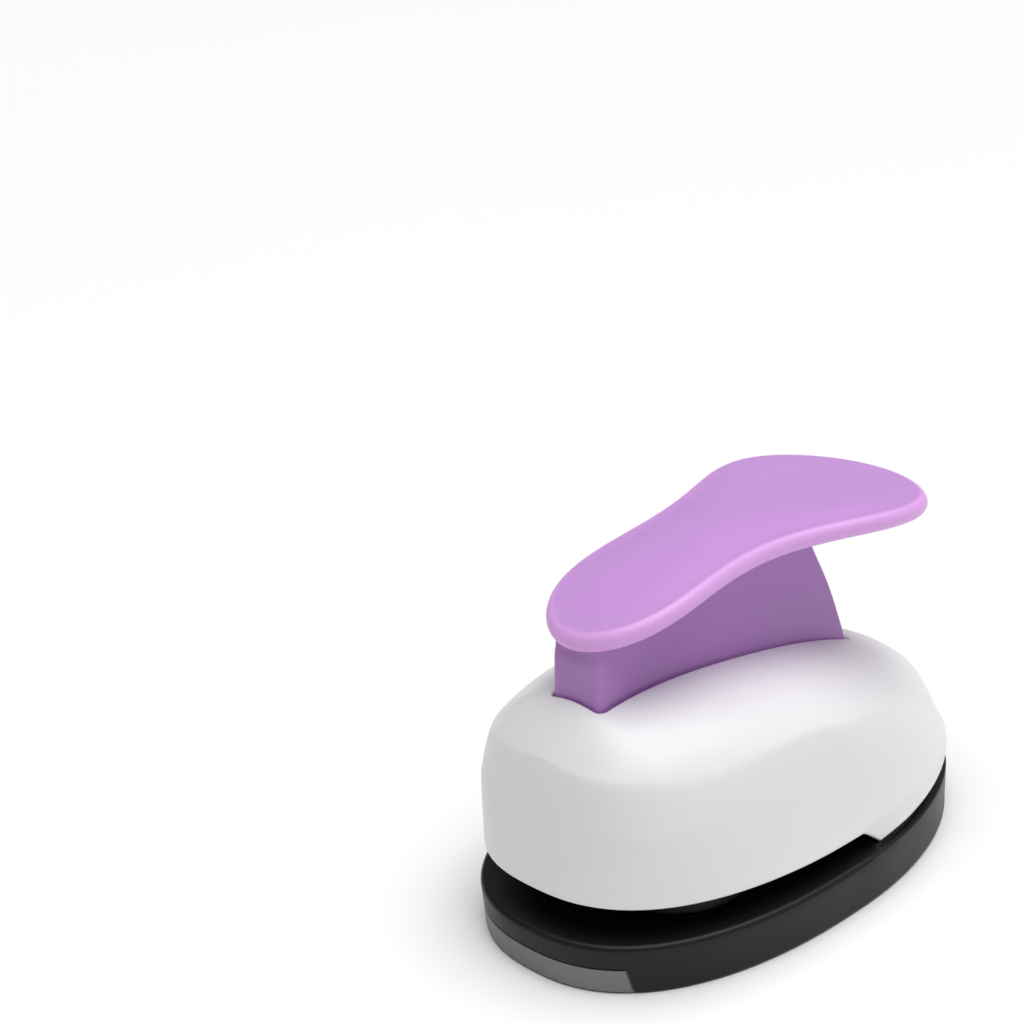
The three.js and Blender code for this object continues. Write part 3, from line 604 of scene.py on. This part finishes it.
def make_pad():
    count = 480
    a = np.linspace(0, TAU, 4000, endpoint=False)
    t = -np.cos(a)
    loop = np.column_stack([np.where(a <= math.pi, 1, -1) * pad_half_width(t), PAD_Y + PAD_REACH * t])
    outline = resampled(loop, count)
    normal = inward(outline)

    def height(y):
        return pad_edge(np.clip((y - PAD_Y) / PAD_REACH, -1, 1))

    def ring(inset, drop, crown=0.0):
        flat = outline + normal * inset
        return np.column_stack([flat, height(flat[:, 1]) - drop + crown])

    core = outline + normal * 3.0
    rings, marks = [], []
    for part in (0.02, 0.3, 0.6, 0.85):
        flat = np.column_stack([core[:, 0] * part, PAD_Y + (core[:, 1] - PAD_Y) * part])
        rings.append(np.column_stack([flat, height(flat[:, 1]) - 3.0 + 0.9 * (1 - part**2)]))
    rings.append(ring(3.0, 3.0, 0.05))
    rings.append(ring(2.0, 3.0))
    r = 1.45
    marks += [0.0] * len(rings)
    # the weights on the lip's rounded side place a painted highlight, lighter where light catches the edge
    for a in np.linspace(-TAU / 4, TAU / 4, 17):
        rings.append(ring(r * (1 - math.cos(a)), 1.5 - 1.5 * math.sin(a)))
        marks.append(float(ease(a, -1.2, -0.5)) * (1 - float(ease(a, 1.1, TAU / 4))))
    rings.append(ring(1.9, 0.02, 0.0))
    rings.append(ring(2.4, 0.02, 0.03))
    rings.append(ring(3.0, 0.0, 0.07))
    for part in (0.97, 0.9, 0.8, 0.68, 0.55, 0.42, 0.3, 0.18, 0.08, 0.02):
        flat = np.column_stack([core[:, 0] * part, PAD_Y + (core[:, 1] - PAD_Y) * part])
        rings.append(np.column_stack([flat, height(flat[:, 1]) + 0.07 + 0.83 * (1 - part**2)]))
    marks += [0.0] * (len(rings) - len(marks))
    faces = strip(count, len(rings), (True, True))
    pad = piece("lever_pad", stack(rings), faces, PURPLE, "lever", ["lever"], 60)
    mark_lip_highlight(pad, count, marks)
    return pad


def skirt_ring(z, inset):
    """The skirt's outline at a height, or its hollow's with an inset."""
    half_width = 4.85 - 0.025 * (z - 38) - inset
    front = -31.6 + 0.055 * (z - 38) + inset
    rear = PIVOT[0] + math.sqrt((LEVER_RADIUS - inset) ** 2 - (z - PIVOT[1]) ** 2)
    corner = 0.5 if inset else 0.9
    return quartered(rounded(half_width, front, rear, corner, 0.5), 360)


def skirt_foot(y, z):
    """Lifts the skirt's lower edge towards the rear, where it comes down on the inner frame."""
    return z + 1.9 * ease(y, -8.5, -2.5) * (1 - ease(z, 24.6, 36.0))


def make_skirt():
    rings = []
    for z in np.concatenate([np.linspace(44, 33, 3), np.linspace(31, 24.9, 4)]):
        inner = skirt_ring(z, SKIRT_WALL)
        rings.append(lifted(inner, skirt_foot(inner[:, 1], z)))
    for z in np.concatenate([np.linspace(24.6, 30, 5)[:-1], np.linspace(30, 53.2, 60)]):
        outer = skirt_ring(z, 0.0)
        # the top follows the pad, half way into its thickness, and nearer its underside at the nose
        lid = pad_edge(np.clip((outer[:, 1] - PAD_Y) / PAD_REACH, -1, 1)) - 1.4
        lid -= 0.9 * ease(-outer[:, 1], 27.0, 29.5)
        rings.append(lifted(outer, skirt_foot(outer[:, 1], z) + (lid - 53.2) * ease(z, 44.0, 53.2)))
    faces = strip(360, len(rings), (True, True))
    # the skirt gets the darker purple copy, which is painted shade
    return piece("lever_skirt", stack(rings), faces, PURPLE_SHADED, "lever", ["lever"], 50)


def side_plate(name, profile, x0, x1):
    """A side profile of [y, z] points as a bevelled plate from x0 to x1."""
    count = len(profile)
    rings = []
    middle = np.mean(profile, axis=0)
    for x, inset in ((x0, 0.25), (x0 + 0.25, 0.0), (x1 - 0.25, 0.0), (x1, 0.25)):
        shrunk = profile + (middle - profile) / np.linalg.norm(middle - profile, axis=1)[:, None] * inset
        rings.append(np.column_stack([np.full(count, x), shrunk]))
    faces = strip(count, len(rings), (True, True))
    return piece(name, stack(rings), faces, PURPLE, "lever", ["lever"], 40)


def make_lugs():
    a = np.linspace(math.pi, TAU, 25)
    lug = np.column_stack([PIVOT[0] + 3.4 * np.cos(a), PIVOT[1] + 3.4 * np.sin(a)])
    profile = np.vstack([lug, [(-24.6, 22.0), (-20.5, 24.6), (-14.0, 24.6), (-14.0, 30.0), (-32.3, 30.0)]])
    for side, name in ((-1, "left"), (1, "right")):
        side_plate(f"lever_lug_{name}", profile, *sorted((side * 3.5, side * 5.25)))


# ---------------------------------------------------------------- small metal parts
def turned(name, profile, x, y, material, body, stands_for, count=64, sharp=30):
    """A round piece from [radius, height] points."""
    t = np.linspace(0, TAU, count, endpoint=False)
    rings = [np.column_stack([x + r * np.cos(t), y + r * np.sin(t), np.full(count, z)]) for r, z in profile]
    faces = strip(count, len(rings), (True, True))
    return piece(name, stack(rings), faces, material, body, stands_for, sharp)


def screw(node, x, y, tip, seat, head, radius, head_radius, body, count=48):
    """A pan-head screw with a rolled thread and a cross recess; head lies above or below seat."""
    up = 1 if head > seat else -1
    t = np.linspace(0, TAU, count, endpoint=False)
    rings = []
    length = abs(seat - tip) - 0.4
    pitch = 0.5
    rings.append((np.full(count, radius * 0.35), np.full(count, tip)))
    steps = max(12, int(length / pitch * 10))
    for k in range(steps + 1):
        along = length * k / steps
        taper = min(1.0, 0.5 + along / 1.2)
        phase = (along / pitch - t / TAU * up) % 1.0
        tooth = radius * taper - 0.18 * np.abs(phase * 2 - 1)
        rings.append((tooth, np.full(count, tip + up * along)))
    rings.append((np.full(count, radius), np.full(count, seat)))
    tall = abs(head - seat)
    for share_out, share_up in ((1, 0), (1, 0.15), (0.97, 0.45), (0.88, 0.75), (0.7, 0.93), (0.45, 1)):
        rings.append((np.full(count, head_radius * share_out), np.full(count, seat + up * tall * share_up)))
    # the recess: the inner rings sink, less between the cross's arms
    cross = np.maximum(np.abs(np.cos(2 * t)) ** 6, 0.25)
    rings.append((head_radius * (0.2 + 0.38 * np.abs(np.cos(2 * t)) ** 8), np.full(count, head)))
    rings.append((head_radius * (0.17 + 0.33 * np.abs(np.cos(2 * t)) ** 8), head - up * 0.55 * tall * cross))
    rings.append((np.full(count, head_radius * 0.08), np.full(count, head - up * 0.6 * tall)))
    points = [np.column_stack([x + r * np.cos(t), y + r * np.sin(t), z]) for r, z in rings]
    faces = strip(count, len(points), (True, True))
    piece(f"{node}_turned", stack(points), faces, PIN, body, [node], 35)


def make_screws():
    for side, name in ((-1, "left"), (1, "right")):
        for kind, (x, y), *sizes in (
            ("case", CASE_SCREW, 19.5, 2.5, 1.0, 1.5, 2.8),
            ("cover", COVER_SCREW, 19.5, 13.3, 12.4, 1.2, 2.4),
            ("bracket", BRACKET_SCREW, 9.5, 15.3, 16.5, 1.2, 2.2),
        ):
            screw(f"{kind}_screw_{name}", side * x, y, *sizes, "base")
    for side, name in ((-1, "front"), (1, "rear")):
        screw(f"cutter_screw_{name}", 0, CUT_Y + side * 7, 14.5, 21.45, 22.8, 1.25, 2.7, "punch")


def make_posts_and_rivets():
    for side, name in ((-1, "left"), (1, "right")):
        post = [(1.1, 9.45), (1.1, 11.45), (1.5, 11.45), (1.5, 25.7)]
        post += [(2.4, 25.7), (2.4, 26.3), (2.2, 26.7), (1.5, 26.9)]
        node = f"guide_post_{name}"
        turned(f"post_{name}", post, side * POST_X, CUT_Y, PIN, "base", [node])
        for row, y in RIVET_ROWS:
            head = [(1.9, 5.3), (2.4, 5.45), (2.6, 5.75), (2.6, 5.95), (1.6, 5.95)]
            head += [(1.6, 11.45), (2.6, 11.45), (2.6, 11.65), (2.4, 11.95), (1.9, 12.12)]
            node = f"rivet_{row}_{name}"
            turned(f"{node}_turned", head, side * RIVET_X, y, PIN, "base", [node])


def make_springs():
    wire, radius, turns, around = 0.35, 2.25, 4.5, 16
    z0, z1 = 14.67, 21.93
    steps = 320
    for side, name in ((-1, "left"), (1, "right")):
        t = np.linspace(0, 1, steps)
        a = TAU * turns * t
        # the end coils lie flat and close
        rise = ease(t, 0.0, 0.35) * 0.35 + ease(t, 0.65, 1.0) * 0.35 + t * 0.3
        x, y = side * POST_X + radius * np.cos(a), CUT_Y + radius * np.sin(a)
        path = np.column_stack([x, y, z0 + (z1 - z0) * rise])
        out = np.column_stack([np.cos(a), np.sin(a), 0 * a])
        along = np.gradient(path, axis=0)
        along /= np.linalg.norm(along, axis=1)[:, None]
        up = np.cross(along, out)
        s = np.linspace(0, TAU, around, endpoint=False)
        rings = [
            p + wire * (np.outer(np.cos(s), o) + np.outer(np.sin(s), u)) for p, o, u in zip(path, out, up)]
        faces = strip(around, steps, (True, True))
        node = f"return_spring_{name}"
        made = piece(f"spring_{name}", stack(rings), faces, PIN, "base", [node], 60)
        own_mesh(made)


LOBES, LOBE_POINTS = 24, 16


def scalloped(grow, count=LOBES, per=LOBE_POINTS):
    """The cut disc's outline: arcs that bulge out between the points where they meet."""
    half = math.pi / count
    valley = 11.55
    lobe = valley * math.sin(half) * 1.06
    centre = valley * math.cos(half)
    points = []
    for i in range(count):
        middle = 2 * half * i
        a = middle + np.linspace(-1.3, 1.3, per)
        x = (centre + grow) * math.cos(middle) + lobe * np.cos(a)
        y = (centre + grow) * math.sin(middle) + lobe * np.sin(a)
        points.append(np.column_stack([x, CUT_Y + y]))
    return np.vstack(points)


def make_cutting_set():
    count = LOBES * LOBE_POINTS
    hole = scalloped(0.08)
    middle = np.array([0.0, CUT_Y])
    # a ring between the lobes and the plate's edge keeps the faces clear of the hole
    collar = middle + (hole - middle) / np.linalg.norm(hole - middle, axis=1)[:, None] * 14.0
    for node, plate in (("die_plate", DIE_PLATE), ("guide_plate", GUIDE_PLATE)):
        z0, z1 = plate["bottom"], plate["top"]
        edge = resampled(rounded(plate["x"], plate["front"], plate["rear"], plate["corner"]), count)
        start = int(np.argmin(np.abs(np.arctan2(edge[:, 1] - CUT_Y, edge[:, 0]))))
        edge = np.roll(edge, -start, 0)
        normal = inward(edge)
        bevelled = edge + normal * 0.15
        levels = ((hole, z0), (collar, z0), (bevelled, z0), (edge, z0 + 0.15))
        levels += ((edge, z1 - 0.15), (bevelled, z1), (collar, z1), (hole, z1), (hole, z0))
        rings = [lifted(outline, z) for outline, z in levels]
        faces = strip(count, len(rings))
        # the plates' near-black steel is painted shade for the slot under the cover
        piece(f"{node}_ground", stack(rings), faces, SHADE_STEEL, "base", [node], 30)
    edge = scalloped(0.0)
    normal = inward(edge)
    rings = [lifted(edge, 9.7), lifted(edge, 19.8), lifted(edge + normal * 0.2, 20.0)]
    faces = strip(count, len(rings), (True, True))
    piece("cutter_ground", stack(rings), faces, STEEL, "punch", ["cutter"], 30)


def dress_cad_nodes():
    """The folded, cast and cut metal parts keep their CAD shape, with softened edges and their own metal; the
    throat spacer's near-black steel is painted shade.
    """
    finishes = {
        "throat_spacer": SHADE_STEEL, "upper_frame": BLACK, "pivot_bracket": PIN, "pivot_pin": PIN,
        "pivot_clip_left": PIN, "pivot_clip_right": PIN, "plunger": ZINC, "press_pin": PIN,
    }
    for name, material in finishes.items():
        node = nodes[name]
        node.data.materials.clear()
        node.data.materials.append(material)
        bevel = node.modifiers.new("edge", "BEVEL")
        bevel.width = 0.00012
        bevel.segments = 2
        bevel.limit_method = "ANGLE"
        bevel.angle_limit = math.radians(45)
        bevel.harden_normals = False


# ---------------------------------------------------------------- stage
def make_stage():
    size = 3.0
    floor_shader = Shader("floor_pale", (0.93, 0.93, 0.93), 0.6)
    floor_shader.paint(floor_shader.tint(floor_shader.noise(3), (0.925, 0.925, 0.925), (0.935, 0.935, 0.935)))
    mesh = bpy.data.meshes.new("floor")
    corners = [(-size, -size, 0), (size, -size, 0), (size, size, 0), (-size, size, 0)]
    mesh.from_pydata(corners, [], [(0, 1, 2, 3)])
    floor = bpy.data.objects.new("floor", mesh)
    mesh.materials.append(floor_shader.material)
    bpy.context.scene.collection.objects.link(floor)


def make_light():
    """A broad soft light from overhead, in a room that is brighter on the right and to the rear."""
    world = bpy.data.worlds.new("studio")
    bpy.context.scene.world = world
    world.use_nodes = True
    tree = world.node_tree
    background = tree.nodes["Background"]
    background.inputs["Color"].default_value = (1, 1, 1, 1)
    place = tree.nodes.new("ShaderNodeTexCoord")
    toward = tree.nodes.new("ShaderNodeVectorMath")
    toward.operation = "DOT_PRODUCT"
    toward.inputs[1].default_value = (0.78, 0.6, 0.18)
    spread = tree.nodes.new("ShaderNodeMapRange")
    for key, number in zip(("From Min", "From Max", "To Min", "To Max"), (-1, 1, 0.12, 0.34)):
        spread.inputs[key].default_value = number
    tree.links.new(place.outputs["Generated"], toward.inputs[0])
    tree.links.new(toward.outputs["Value"], spread.inputs["Value"])
    tree.links.new(spread.outputs["Result"], background.inputs["Strength"])
    data = bpy.data.lights.new("overhead", "SUN")
    data.energy, data.angle = 2.85, math.radians(60)
    light = bpy.data.objects.new("overhead", data)
    light.rotation_euler = Vector((-0.13, -0.08, -1)).to_track_quat("-Z", "Y").to_euler()
    bpy.context.scene.collection.objects.link(light)
    bpy.context.scene.view_settings.view_transform = "Standard"


def make_camera():
    """From the front right, a little above, with a slight roll."""
    data = bpy.data.cameras.new("camera")
    data.lens, data.sensor_width = 68.12, 36.0
    data.clip_start, data.clip_end = 0.01, 20
    camera = bpy.data.objects.new("camera", data)
    bpy.context.scene.collection.objects.link(camera)
    azimuth, elevation, roll = (math.radians(a) for a in (47.966, 21.110, -4.784))
    level_part = math.cos(elevation)
    back = Vector((math.sin(azimuth) * level_part, -math.cos(azimuth) * level_part, math.sin(elevation)))
    level = Vector((math.cos(azimuth), math.sin(azimuth), 0))
    upright = back.cross(level)
    right = level * math.cos(roll) + upright * math.sin(roll)
    up = upright * math.cos(roll) - level * math.sin(roll)
    camera.matrix_world = Matrix.Translation((0.18283, -0.20565, 0.16697)) @ Matrix(
        ((right.x, up.x, back.x, 0), (right.y, up.y, back.y, 0), (right.z, up.z, back.z, 0), (0, 0, 0, 1)))
    bpy.context.scene.camera = camera


make_camera()
make_cover()
make_base()
make_tray()
make_pad()
make_skirt()
make_lugs()
make_screws()
make_posts_and_rivets()
make_springs()
make_cutting_set()
dress_cad_nodes()
make_stage()
make_light()

bpy.context.view_layer.update()
